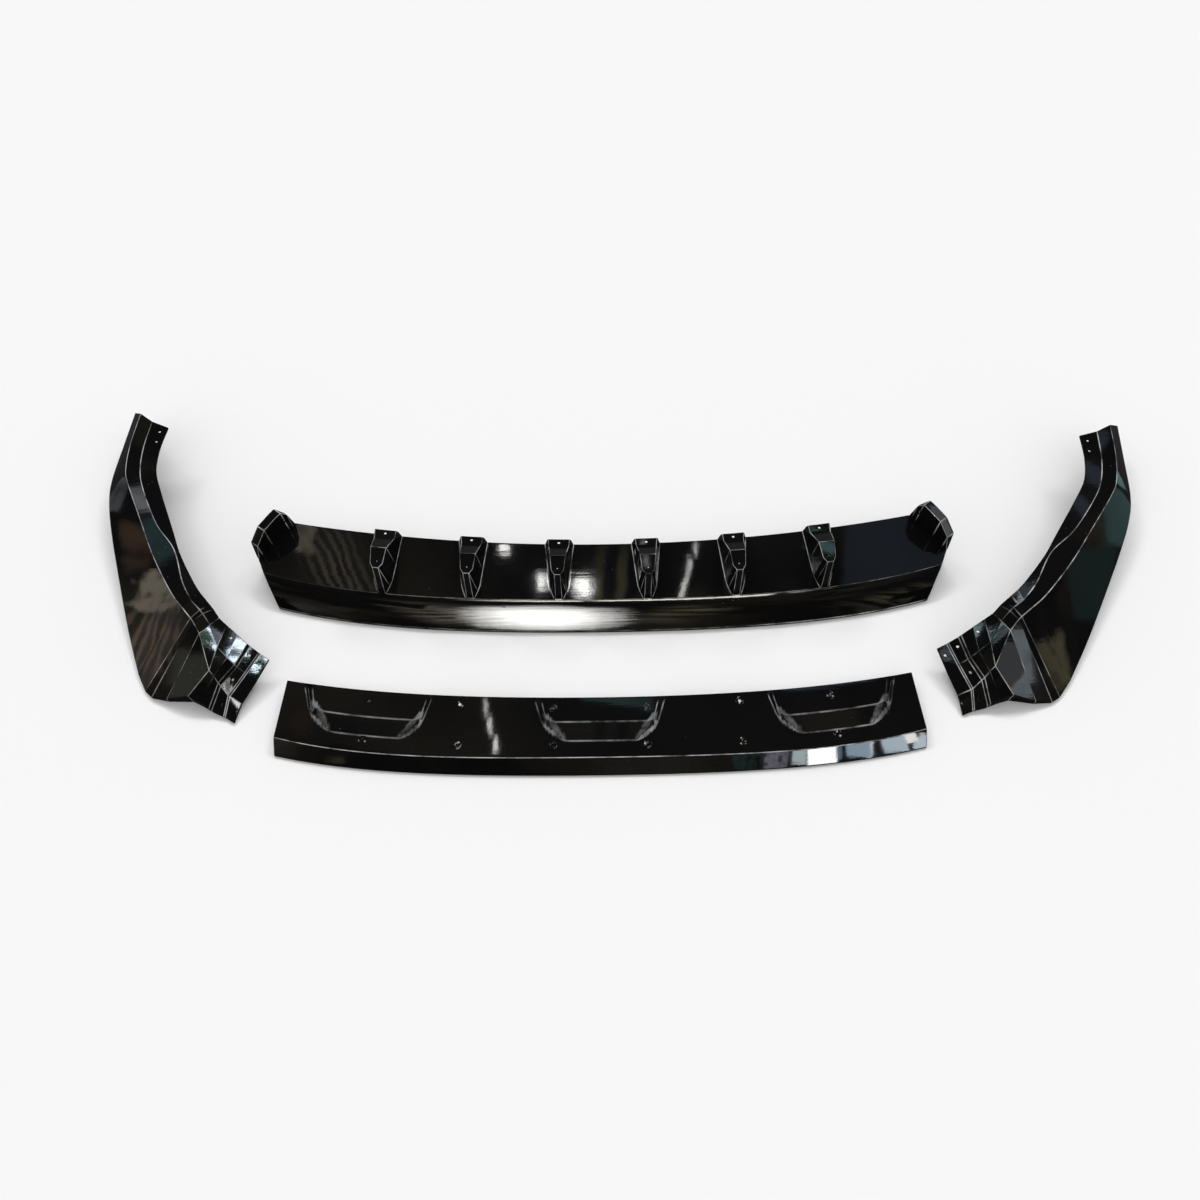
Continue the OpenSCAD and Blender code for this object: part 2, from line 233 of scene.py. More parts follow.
def smooth(obj):
    """Shades an object smooth, but for its sharp edges."""
    for p in obj.data.polygons:
        p.use_smooth = True
    obj.data.set_sharp_from_angle(angle=math.radians(SHARP_ANGLE))
    mod = obj.modifiers.new("normals", "WEIGHTED_NORMAL")
    mod.keep_sharp = True
    mod.weight = FACE_WEIGHT
    apply_modifiers(obj)


def join(name, parts):
    bm = bmesh.new()
    for p in parts:
        bm.from_mesh(p.data)
        bpy.data.objects.remove(p)
    return mesh_object(name, bm)


# Upper centre panel
HALF_LIP, CREASE_OUT, EAR_OUT, REAR_IN = 549.0, 26.0, 39.0, 14.0
BLADE_DEPTH, DECK_Z, DECK_DEPTH = 45.0, 33.0, 107.5
LIP_Z, BULGE, FRONT_BOW, FRONT_SWEEP, REAR_BOW = 5.0, 4.5, 26.0, 26.0, 54.0
HALF_CREASE, HALF_EAR, HALF_REAR = HALF_LIP + CREASE_OUT, HALF_LIP + EAR_OUT, HALF_LIP - REAR_IN
# Distance from the middle at which the ends start to flare, and where along the deck they are widest
FLARE_FROM, EAR_SHARE = 420, 0.77
FIN_COUNT, PITCH, TAB_W, BASE_W, TAB_H, FIN_H, TAB_LEAN = 6, 148.0, 37.0, 49.0, 21.0, 60.0, 3.0
FIN_X = [(i - (FIN_COUNT - 1) / 2) * PITCH for i in range(FIN_COUNT)]
# Fin from rear to front: share of the deck, height, half width at the top and at the base
FIN_FORM = [
    (0, TAB_H, TAB_W / 2, BASE_W / 2),
    (0.15, TAB_H, 0.93 * TAB_W / 2, 0.92 * BASE_W / 2),
    (0.5, 0.9 * FIN_H, 0.71 * TAB_W / 2, 0.76 * BASE_W / 2),
    (0.78, 0.95 * FIN_H, 0.56 * TAB_W / 2, 0.62 * BASE_W / 2),
    (0.87, FIN_H, 0.27 * TAB_W / 2, 0.5 * BASE_W / 2),
    (0.99, 0.4, 0.3 * TAB_W / 2, 0.3 * BASE_W / 2)]
# Columns: spacing on plain stretches, half width kept for a fin, and the roles across a fin
# from its foot (4) over its base (3) and top edge (2) to its middle (0)
COLUMN_STEP, FIN_REACH = 11, 33
FIN_ROLES = (-4, -3, -2.66, -2.33, -2, 0, 2, 2.33, 2.66, 3, 4)
# Foot of a fin beyond its base, least half widths of a lining, and the share that stands for the blade
FIN_FOOT, LEAST_TOP, LEAST_BASE, ON_BLADE = 4, 0.5, 1.0, 1.5
BLADE_ROWS = 13
DECK_ROWS = [1.0, 0.99, 0.96, 0.93, 0.9, 0.87, 0.84, 0.81, 0.78, 0.7, 0.62, 0.56, 0.5,
             0.42, 0.33, 0.24, 0.15, 0.1, 0.05, 0]
# Rounding of the folds across and along the panel; a positive one carries a painted highlight, a negative one
# none
LIP_FOLD, CREASE_FOLD, EDGE_FOLD = 1.8, 1.1, 1.2
DECK_FOLDS = {0.99: -1.0, 0.87: 0.9, 0.78: -1.0, 0.5: 0.9, 0.15: -1.0}
FIN_FOLDS = {3: 1.1, 2: 0.9}
# Screw hole of a tab from the rear edge; drain hole of a fin: share of the deck, radius
TAB_HOLE_IN, DRAIN_SHARE, DRAIN = 9.5, 0.74, 1.75
# How far a hole is cut above the skin, and below it in a tab and in a fin
CUT_ABOVE, TAB_CUT, FIN_CUT = 2, 12, 20
# Painted highlight of the lip and of the crease: where it starts to grow, over how many mm, and its least
LIP_PAINTED_GLINT, CREASE_PAINTED_GLINT = (120, 180, 0.3), (-500, 170, 0.15)
# Height above the lip and above the deck that still counts to them
LIP_ZONE, CREASE_ZONE = 1.5, 0.6


def front_bow(x):
    return FRONT_BOW * (x / HALF_LIP) ** 2 + FRONT_SWEEP * (x / HALF_LIP) ** 4


def deck_y(x, share):
    rear = BLADE_DEPTH + DECK_DEPTH + REAR_BOW * (x / HALF_LIP) ** 2
    crease = BLADE_DEPTH + front_bow(x)
    return rear - share * (rear - crease)


def fin_section(share):
    """Height and half widths of a fin at a share of the deck."""
    if share > FIN_FORM[-1][0]:
        return (0.0, *FIN_FORM[-1][2:])
    for a, b in zip(FIN_FORM, FIN_FORM[1:]):
        if a[0] <= share <= b[0]:
            f = (share - a[0]) / (b[0] - a[0])
            return tuple(a[k] + f * (b[k] - a[k]) for k in (1, 2, 3))


def half_at(row):
    """Half the width of the panel at a row."""
    kind, v = row
    if kind == "blade":
        return HALF_LIP + v * CREASE_OUT
    if v >= EAR_SHARE:
        return HALF_EAR + (v - EAR_SHARE) / (1 - EAR_SHARE) * (HALF_CREASE - HALF_EAR)
    return HALF_REAR + v / EAR_SHARE * (HALF_EAR - HALF_REAR)


def upper_columns():
    """Columns across the panel: ('wall' | 'edge' | 'plain', x) or ('fin', x, role)."""
    edges = [-HALF_CREASE] + [e for f in FIN_X for e in (f - FIN_REACH, f + FIN_REACH)] + [HALF_CREASE]
    cols = [("wall", -HALF_CREASE), ("edge", -HALF_CREASE)]
    for k in range(0, len(edges), 2):
        a, b = edges[k], edges[k + 1]
        n = max(3, int(round((b - a) / COLUMN_STEP)))
        xs = [a + (b - a) * i / n for i in range(n + 1)]
        if k == 0:
            xs = xs[1:]
        if k == len(edges) - 2:
            xs = xs[:-1]
        cols += [("plain", x) for x in xs]
        if k < len(edges) - 2:
            cols += [("fin", FIN_X[k // 2], role) for role in FIN_ROLES]
    return cols + [("edge", HALF_CREASE), ("wall", HALF_CREASE)]


def upper_point(row, col, inset):
    """Point of the upper sheet: inset is 0 on its skin and WALL on its lining."""
    kind, v = row
    if kind == "foot":
        x, y, _ = upper_point(("blade", 0), col, inset)
        return (x, y, 0)
    x, dz, lean = col[1], 0, 0
    if col[0] == "fin":
        share = v if kind == "deck" else ON_BLADE
        h, w, b = fin_section(share)
        role = abs(col[2])
        top_x, base_x = max(w - inset, LEAST_TOP), max(b - inset, LEAST_BASE)
        if role == 4:
            dx = b + FIN_FOOT
        elif role >= 2:
            f = 3 - role
            dx, dz = base_x + f * (top_x - base_x), f * h
        else:
            dx, dz = 0, h
        x += math.copysign(dx, col[2])
        if share == 0 and role <= 2:
            lean = TAB_LEAN
    else:
        flare = min(max((abs(x) - FLARE_FROM) / (HALF_CREASE - FLARE_FROM), 0), 1)
        x = math.copysign(abs(x) + flare * (half_at(row) - inset - HALF_CREASE), x)
    if kind == "blade":
        y = v * BLADE_DEPTH + inset * (1 - v) + front_bow(x)
        z = LIP_Z + v * (DECK_Z - LIP_Z) + 4 * BULGE * v * (1 - v) - inset
    else:
        y, z = deck_y(x, v) - lean, DECK_Z - inset + dz
    if col[0] == "wall":
        z = 0
    return (x + UPPER_AT[0], y + UPPER_AT[1], z)


def upper_painted_glint(p):
    """The painted highlight of the crease is fainter towards its left end, and that of the lip shows only
    near its right end.
    """
    lip, crease = p[..., 2] < LIP_Z + LIP_ZONE, p[..., 2] < DECK_Z + CREASE_ZONE
    along_lip, along_crease = (np.clip((p[..., 0] - start) / over, least, 1)
                               for start, over, least in (LIP_PAINTED_GLINT, CREASE_PAINTED_GLINT))
    return np.where(lip, along_lip, np.where(crease, along_crease, 1))


def build_upper():
    rows = [("foot", 0), ("blade", 0)] + [("blade", k / BLADE_ROWS) for k in range(1, BLADE_ROWS)]
    rows += [("deck", share) for share in DECK_ROWS]
    cols = upper_columns()
    skin, lining = (np.array([[upper_point(row, col, inset) for row in rows] for col in cols])
                    for inset in (0, WALL))
    along = {rows.index(("blade", 0)): LIP_FOLD, rows.index(("deck", 1.0)): CREASE_FOLD}
    along.update({k: DECK_FOLDS[v] for k, (kind, v) in enumerate(rows) if kind == "deck" and v in DECK_FOLDS})
    across = {k: EDGE_FOLD for k, col in enumerate(cols) if col[0] == "edge"}
    across.update({k: FIN_FOLDS[abs(col[2])] for k, col in enumerate(cols)
                   if col[0] == "fin" and abs(col[2]) in FIN_FOLDS})
    bm = bmesh.new()
    closed_shell(bm, skin, lining, across, along, dim=upper_painted_glint)
    panel = finish_mesh("upper_sheet", bm)
    holes = bmesh.new()
    for f in FIN_X:
        for y, profile in (
                (deck_y(f, 0) - TAB_HOLE_IN, pin(HOLE, TAB_H - TAB_CUT, TAB_H + CUT_ABOVE)),
                (deck_y(f, DRAIN_SHARE), pin(DRAIN, FIN_H - FIN_CUT, FIN_H + CUT_ABOVE))):
            turned(holes, profile, (f + UPPER_AT[0], y + UPPER_AT[1], DECK_Z))
    cut(panel, holes)
    smooth(panel)
    return join("upper_panel", [panel, build_ear(1), build_ear(-1)])


# Ear, from rear to front: share of its run, share of its height, width of its rim
EAR_EDGE = [(0.02, 0.1, 1), (0.08, 0.72, 2), (0.18, 1, 14), (0.34, 0.99, 14), (0.63, 0.92, 14),
            (0.9, 0.55, 14), (0.98, 0.12, 4), (1.0, 0.03, 1)]
EAR_H = 53.0
# How far an ear reaches into the deck, share of the height of its middle line, fall of its rim
EAR_ROOT, EAR_MIDDLE, RIM_FALL = 1, 0.4, 0.12
# Least height and rim of its lining, and half the length of its hole's cutter
LEAST_WALL, LEAST_RIM, EAR_CUT = 0.2, 0.6, 8
# Its screw hole: share of the run and of the height
EAR_HOLE = (0.17, 0.55)
# Roundings of its outline from rear to front, and of the edge between wall and rim, each with a painted
# highlight
EAR_FOLDS, RIM_FOLDS = {1: 1.2, 2: 1.4, 3: 1.4, 4: 1.4, 5: 1.4, 6: 1.2}, {2: 1.1}


def build_ear(side):
    """Upright ear at the right (1) or left (-1) end of the deck."""
    rear = Vector((HALF_REAR, deck_y(HALF_REAR, 0)))
    front = Vector((HALF_EAR, deck_y(HALF_EAR, EAR_SHARE)))
    run = (front - rear).length
    d = (front - rear) / run
    out = Vector((-d.y, d.x))

    def place(x, y, z):
        px = rear.x + d.x * x + out.x * y
        py = rear.y + d.y * x + out.y * y
        return (side * px + UPPER_AT[0], py + UPPER_AT[1], DECK_Z + z)

    def section(x, y, z, width, least):
        """Points up the wall and out along the rim."""
        rim = [place(x, max(f * width, f * least), z - f * RIM_FALL * width) for f in (0.5, 1)]
        return [place(x, y, -EAR_ROOT), place(x, y, EAR_MIDDLE * z), place(x, y, z)] + rim
    skin, lining = [], []
    for run_share, height_share, width in EAR_EDGE:
        x, z = run_share * run, height_share * EAR_H
        skin.append(section(x, -WALL, z, width, 0))
        lining.append(section(x, 0, max(z - WALL, LEAST_WALL), width, LEAST_RIM))
    bm = bmesh.new()
    closed_shell(bm, np.array(skin), np.array(lining), EAR_FOLDS, RIM_FOLDS)
    ear = finish_mesh("ear", bm)
    holes = bmesh.new()
    m = Matrix.Rotation(math.atan2(d.y, side * d.x), 4, "Z") @ Matrix.Rotation(math.pi / 2, 4, "X")
    turned(holes, pin(HOLE, -EAR_CUT, EAR_CUT), place(EAR_HOLE[0] * run, 0, EAR_HOLE[1] * EAR_H), m)
    cut(ear, holes)
    smooth(ear)
    return ear


# Lower centre plate
HALF_FOOT, PLATE_DEPTH, PLATE_Z, LEAN = 511.0, 121.5, 22.0, 22.0
PLATE_BOW, PLATE_SWEEP, FOOT_Z = 17.0, 21.0, 3.0
PLATE_REAR_IN, PLATE_CREASE_IN = 9.0, 1.0
# Bow and sweep of the crease and of the rear edge, as shares of the foot's
CREASE_SHARES, REAR_SHARES = (0.6, 1.4), (1.55, 0.55)
HALF_PLATE = HALF_FOOT - PLATE_CREASE_IN
# Distance from the middle at which the ends start to follow the side edge, spacing of plain columns
END_FROM, PLAIN_STEP = 470, 10
# Pockets: depth, width, distance behind the crease, length of the front slope, lean of the rear
POCKET_DEPTH, POCKET_W, POCKET_IN, POCKET_SLOPE, POCKET_LEAN = 10.0, 208.0, 27.0, 35.0, 4.0
POCKETS = [-2.5 * PITCH, 0.0, 2.5 * PITCH]
# Slope of its sides, its cut corners, and how softly slopes meet each other, the corners and the floor
SIDE_SLOPE, POCKET_CUT, SOFT_SLOPE, SOFT_CUT, SOFT_FLOOR = 0.9, (25, 27), 0.12, 0.3, 0.04
# Pockets are narrower in front: by what share, up to what distance from the crease by all of it,
# and over what reach the columns beside a pocket follow
SLANT, SLANT_FROM, SLANT_REACH = 0.26, 12, 76
# Margin of fine columns beside a pocket, and their spacing farther inside than a distance from its side
POCKET_MARGIN = 4
POCKET_STEPS = ((32, 6.0), (12, 2.5), (-POCKET_MARGIN, 1.0))
# Rows behind the crease; from the last of them to the rear edge they are shares of the rest
TOP_ROWS = [0, 8, 16, 22, 25, 26, 27, 28, 29, 31, 34, 38, 43, 48, 53, 57, 60, 61, 62, 63, 64, 66]
BACK_FROM = TOP_ROWS[-1]
# How much lower the lining lies at the foot
FOOT_STEP = 1.5
# Rows of the front face and rows behind the last one of TOP_ROWS
FACE_ROWS, BACK_ROWS = 5, 6
# Roundings of the side edges, the foot and the crease; a positive one carries a painted highlight, a negative
# one none
SIDE_FOLD, FOOT_FOLD, FRONT_CREASE_FOLD = -1.2, -1.0, 1.0
# Screw holes: distances from the rear edge and from the crease, the ones clear of a pocket
REAR_HOLE_IN, FRONT_HOLE_IN, HOLES_BETWEEN = 14, 20, (1, 4)
# Profile of a screw hole with its flat round seat
SEATED_HOLE = [(0, -9), (HOLE, -9), (HOLE, -1.5), (HOLE + 0.5, -1), (5.7, -1), (6.3, -0.5),
               (6.9, 0.05), (6.9, 1), (0, 1)]


def plate_foot_y(x, bow_share=1, sweep_share=1):
    u = (x / HALF_FOOT) ** 2
    return bow_share * PLATE_BOW * u + sweep_share * PLATE_SWEEP * u * u


def plate_crease(x):
    return LEAN + plate_foot_y(x, *CREASE_SHARES)


def plate_rear(x):
    return PLATE_DEPTH + plate_foot_y(x, *REAR_SHARES)


def soft_min(a, b, k):
    """The smaller of two values, with a rounding of size k where they cross."""
    h = max(k - abs(a - b), 0) / k
    return min(a, b) - h * h * k / 4


def pocket_drop(u, behind):
    """Depth of the pocket as a share: u across from its middle, behind the crease."""
    inside, past = POCKET_W / 2 - abs(u), behind - POCKET_IN
    slopes = soft_min(past / POCKET_SLOPE, inside / (SIDE_SLOPE * POCKET_DEPTH), SOFT_SLOPE)
    drop = soft_min(slopes, past / POCKET_CUT[0] + inside / POCKET_CUT[1] - 1, SOFT_CUT)
    return -soft_min(-soft_min(drop, 1.0, SOFT_FLOOR), 0.0, SOFT_FLOOR)


def pocket_columns():
    """Columns across a pocket from its middle, finer towards its sides."""
    steps = []
    a = 0.0
    while a < POCKET_W / 2 + POCKET_MARGIN:
        steps.append(a)
        a += next(step for inside, step in POCKET_STEPS if a < POCKET_W / 2 - inside)
    return sorted([-s for s in steps if s > 0] + steps)


def plate_columns():
    """Columns across the plate, the two walls left out."""
    local = pocket_columns()
    reach = local[-1]
    xs = []
    for i in range(len(POCKETS) + 1):
        start = POCKETS[i - 1] + reach if i else -HALF_PLATE
        end = POCKETS[i] - reach if i < len(POCKETS) else HALF_PLATE
        n = max(2, int(round((end - start) / PLAIN_STEP)))
        stretch = [start + (end - start) * k / n for k in range(n + 1)]
        if i:
            stretch = stretch[1:]
        if i < len(POCKETS):
            stretch = stretch[:-1] + [POCKETS[i] + u for u in local]
        xs += stretch
    return xs


def plate_x(x0, share, depth, half, inset):
    """Place of a column at a share of the plate's depth."""
    slant = SLANT * (1 - min(max((share * depth - SLANT_FROM) / (depth - SLANT_FROM), 0), 1))
    centre = min(POCKETS, key=lambda c: abs(c - x0))
    u = x0 - centre
    if abs(u) <= POCKET_W / 2:
        x = centre + u * (1 - slant)
    else:
        fade = max(1 - (abs(u) - POCKET_W / 2) / SLANT_REACH, 0)
        x = x0 - math.copysign(slant * POCKET_W / 2 * fade, u)
    if abs(x0) > HALF_PLATE - 0.01:
        return math.copysign(half - inset, x0), u
    if abs(x0) > END_FROM:
        follow = (abs(x0) - END_FROM) / (HALF_PLATE - END_FROM)
        x = math.copysign(abs(x) + follow * (half - inset - HALF_PLATE), x0)
    return x, u


def plate_point(row, x0, wall, inset):
    """Point of the lower sheet: inset is 0 on its skin and WALL on its lining."""
    kind, v = row
    depth = plate_rear(x0) - plate_crease(x0)
    share = {"top": v, "back": BACK_FROM + v * (depth - BACK_FROM)}.get(kind, 0) / depth
    half = {"foot": HALF_FOOT, "face": HALF_FOOT - v * PLATE_CREASE_IN}.get(
        kind, HALF_PLATE - share * (PLATE_REAR_IN - PLATE_CREASE_IN))
    x, u = plate_x(x0, share, depth, half, inset)
    if kind == "foot":
        y = plate_foot_y(x) + inset
        z = 0 if v == 0 else FOOT_Z - (inset and FOOT_STEP)
    elif kind == "face":
        y = plate_foot_y(x) * (1 - v) + plate_crease(x) * v + inset * (1 - v)
        z = FOOT_Z + v * (PLATE_Z - FOOT_Z) - inset * v - (inset and FOOT_STEP * (1 - v))
    else:
        here = plate_rear(x) - plate_crease(x)
        behind = v if kind == "top" else BACK_FROM + v * (here - BACK_FROM)
        inside = abs(u) < POCKET_W / 2 + POCKET_MARGIN
        drop = POCKET_DEPTH * pocket_drop(u, behind) if inside else 0.0
        y, z = plate_crease(x) + behind, PLATE_Z - inset - drop
        if kind == "back":
            y += POCKET_LEAN * v ** 3 * drop / POCKET_DEPTH
    return (x + PLATE_AT[0], y + PLATE_AT[1], 0 if wall else z)


def build_plate():
    xs = plate_columns()
    cols = [(-HALF_PLATE, True)] + [(x, False) for x in xs] + [(HALF_PLATE, True)]
    rows = [("foot", 0), ("foot", 1)] + [("face", k / FACE_ROWS) for k in range(1, FACE_ROWS)]
    rows += [("top", b) for b in TOP_ROWS] + [("back", k / BACK_ROWS) for k in range(1, BACK_ROWS + 1)]
    skin, lining = (np.array([[plate_point(row, x, wall, inset) for row in rows] for x, wall in cols])
                    for inset in (0, WALL))
    across = {1: SIDE_FOLD, len(cols) - 2: SIDE_FOLD}
    along = {rows.index(("foot", 1)): FOOT_FOLD, rows.index(("top", 0)): FRONT_CREASE_FOLD}
    bm = bmesh.new()
    # Bends found in its skin, as round the pockets, get a painted highlight as well
    closed_shell(bm, skin, lining, across, along, find_bends=True)
    plate = finish_mesh("plate_sheet", bm)
    holes = bmesh.new()
    for i, x in enumerate(FIN_X):
        low = 0 if i in HOLES_BETWEEN else POCKET_DEPTH
        for y, top in ((plate_rear(x) - REAR_HOLE_IN, PLATE_Z - low),
                       (plate_crease(x) + FRONT_HOLE_IN, PLATE_Z)):
            turned(holes, SEATED_HOLE, (x + PLATE_AT[0], y + PLATE_AT[1], top))
    cut(plate, holes)
    smooth(plate)
    plate.name = "lower_plate"
    return plate


# Corner panels: four points across each station, as x, y and share of the height
CORNER_Z = 85.0
CORNER_STATIONS = [
    [(-115, 537, 0.68), (-88, 513, 1), (-66, 498, 0.95), (-40, 491, 0.85)],
    [(-124, 465, 0.6), (-96, 455, 0.92), (-72, 442, 0.9), (-46, 445, 0.84)],
    [(-132, 396, 0.52), (-96, 405, 0.86), (-68, 394, 0.88), (-43, 400, 0.85)],
    [(-129, 350, 0.45), (-86, 372, 0.85), (-53, 352, 0.89), (-28, 360, 0.87)],
    [(-114, 291, 0.37), (-42, 285, 0.88), (-14, 281, 0.94), (12, 275, 0.92)],
    [(-87, 207, 0.25), (-6, 217, 0.94), (28, 228, 0.99), (38, 221, 0.98)],
    [(-55, 115, 0.14), (38, 148, 0.99), (54, 166, 1), (70, 168, 0.98)],
    [(-24, 38, 0.07), (64, 117, 1), (76, 130, 1), (86, 146, 0.97)]]
# The faceted front, with a fold at each station
CORNER_FRONT = [
    [(-7, 8, 0.05), (80, 99, 1), (92, 114, 0.99), (104, 126, 0.92)],
    [(6, -3, 0.06), (84, 94, 0.98), (97, 108, 0.97), (110, 119, 0.9)],
    [(34, -9, 0.13), (95, 76, 0.9), (108, 92, 0.87), (120, 105, 0.85)],
    [(74, -10, 0.3), (109, 25, 0.55), (120, 60, 0.7), (132, 95, 0.79)],
    [(92, -19, 0.22), (115, 18, 0.46), (136, 45, 0.6), (148, 82, 0.69)],
    [(106, -27, 0.16), (121, 9, 0.38), (146, 36, 0.5), (163, 70, 0.58)],
    [(109, -29, 0.11), (124, 6, 0.32), (149, 34, 0.45), (166, 68, 0.53)],
    [(129, -38, 0.08), (136, -8, 0.25), (160, 27, 0.36), (179, 60, 0.42)],
    [(131, -39, 0.06), (138, -9, 0.22), (162, 26, 0.33), (181, 59, 0.39)],
    [(146, -48, 0.05), (156, -19, 0.15), (175, 14, 0.24), (194, 51, 0.33)]]
CORNER_HOLES = [(181, 41, 0.34), (149, -30, 0.1), (165, 54, 0.42), (125, -20, 0.2),
                (142, 16, 0.4), (139, 76, 0.74), (-52, 480, 0.88), (-54, 459, 0.86)]
# Rows from one station of the long panel to the next
STATION_ROWS = 6
# Roundings of the seam to the front, of the front's folds and of the foot and the ridge; positive ones carry
# a painted highlight, a negative one none
SEAM_FOLD, FRONT_FOLD, RIDGE_FOLDS = 3.0, 1.0, {1: -1.2, 4: 1.1, 6: 1.1}
# Extra thickness under the ridge, and half the length of a hole's cutter
RIDGE_GAP, CORNER_CUT = 0.6, 25
# Points on the way up the outer wall, over the ridge and down inside
SPAN_SHARES = ((0.33, 0.66), (0.5,), (0.5,))


def spline(a, b, c, d, t):
    return b + 0.5 * t * (c - a + t * (2 * a - 5 * b + 4 * c - d + t * (3 * (b - c) + d - a)))


def corner_rows():
    """Rows of four points from the tip to the end flange, and the folds between them."""
    stations = [np.array(s, float) for s in CORNER_STATIONS]
    front = [np.array(s, float) for s in CORNER_FRONT]
    rows = []
    for i in range(len(stations) - 1):
        a, b = stations[max(i - 1, 0)], stations[i]
        c, d = stations[i + 1], stations[min(i + 2, len(stations) - 1)]
        rows += [spline(a, b, c, d, k / STATION_ROWS) for k in range(STATION_ROWS)]
    rows.append(stations[-1])
    folds = {len(rows): SEAM_FOLD}
    rows.append(0.5 * (stations[-1] + front[0]))
    folds.update({len(rows) + k: FRONT_FOLD for k in range(len(front) - 1)})
    return rows + front, folds


def corner_section(row):
    """Skin and lining across one row: up the outer wall, over the ridge and down inside."""
    r = row * (1, 1, CORNER_Z)
    inward = r[1, :2] - r[0, :2]
    inward = np.append(inward / np.linalg.norm(inward), 0)
    skin = [r[0] * (1, 1, 0), r[0]]
    low = [r[0] * (1, 1, 0) + WALL * inward, r[0] - (0, 0, WALL) + WALL * inward]
    for j, shares in enumerate(SPAN_SHARES, 1):
        from_skin, from_low = r[j - 1], low[-1]
        to_low = r[j] - (0, 0, WALL + RIDGE_GAP)
        for f in shares:
            skin.append(from_skin + f * (r[j] - from_skin))
            low.append(from_low + f * (to_low - from_low))
        skin.append(r[j])
        low.append(to_low)
    return skin, low


def build_corner(name, at, turn, mirrored):
    rows, folds = corner_rows()
    skin, lining = (np.array(side) for side in zip(*[corner_section(row) for row in rows]))

    def place(p):
        p = np.array(p, float)
        if mirrored:
            p = p * (-1, 1, 1)
        a = math.radians(-turn)
        x = p[..., 0] * math.cos(a) - p[..., 1] * math.sin(a) + at[0]
        y = p[..., 0] * math.sin(a) + p[..., 1] * math.cos(a) + at[1]
        return np.stack([x, y, p[..., 2]], axis=-1)
    bm = bmesh.new()
    closed_shell(bm, place(skin), place(lining), folds, RIDGE_FOLDS)
    panel = finish_mesh(name, bm)
    cutter = bmesh.new()
    for x, y, share in CORNER_HOLES:
        turned(cutter, pin(HOLE, -CORNER_CUT, CORNER_CUT), tuple(place((x, y, share * CORNER_Z))))
    cut(panel, cutter)
    smooth(panel)
    return panel


# Materials
def add(nt, kind, inputs=None, **settings):
    """Adds a shader node; inputs holds plain values and sockets to link from."""
    node = nt.nodes.new("ShaderNode" + kind)
    for key, value in settings.items():
        setattr(node, key, value)
    for key, value in (inputs or {}).items():
        if isinstance(value, bpy.types.NodeSocket):
            nt.links.new(value, node.inputs[key])
        else:
            node.inputs[key].default_value = value
    return node


def calc(nt, operation, *values):
    return add(nt, "Math", dict(enumerate(values)), operation=operation).outputs[0]


def blend(nt, share, first, second):
    """Mixes two colours."""
    return add(nt, "Mix", {0: share, 6: first, 7: second}, data_type="RGBA").outputs[2]


def ramp(nt, source, stops):
    """Turns a value into a colour; a stop is its place and a colour or a grey."""
    node = add(nt, "ValToRGB", {0: source})
    elements = node.color_ramp.elements
    while len(elements) < len(stops):
        elements.new(0.5)
    for element, (place, tone) in zip(elements, stops):
        element.position = place
        element.color = (*tone, 1) if isinstance(tone, tuple) else (tone, tone, tone, 1)
    return node.outputs[0]


def ranged(nt, value, low, high, kind="LINEAR", ground=0.0):
    """Stretches a value between low and high to between ground and 1."""
    inputs = {"Value": value, "From Min": low, "From Max": high, "To Min": ground}
    return add(nt, "MapRange", inputs, interpolation_type=kind).outputs[0]


def ray_is(nt, kind):
    """Socket that is 1 for one kind of ray."""
    return add(nt, "LightPath").outputs[kind]


def new_material(name):
    mat = bpy.data.materials.new(name)
    mat.use_nodes = True
    mat.node_tree.nodes.clear()
    return mat


# Gloss black: two near blacks, the tone of dust, and the tone of the painted highlight along a fold
BLACKS = [(0.3, (0.0032, 0.0034, 0.004)), (0.7, (0.0052, 0.0049, 0.0046))]
DUST, FOLD_HIGHLIGHT_TONE = (0.22, 0.215, 0.2, 1), (0.68, 0.69, 0.7, 1)
# Fine lines drawn along the moulding: their stretch, strength and depth
DRAWN_SCALE, DRAWN, DRAWN_DEPTH = (6, 130, 130), 0.16, 0.0004


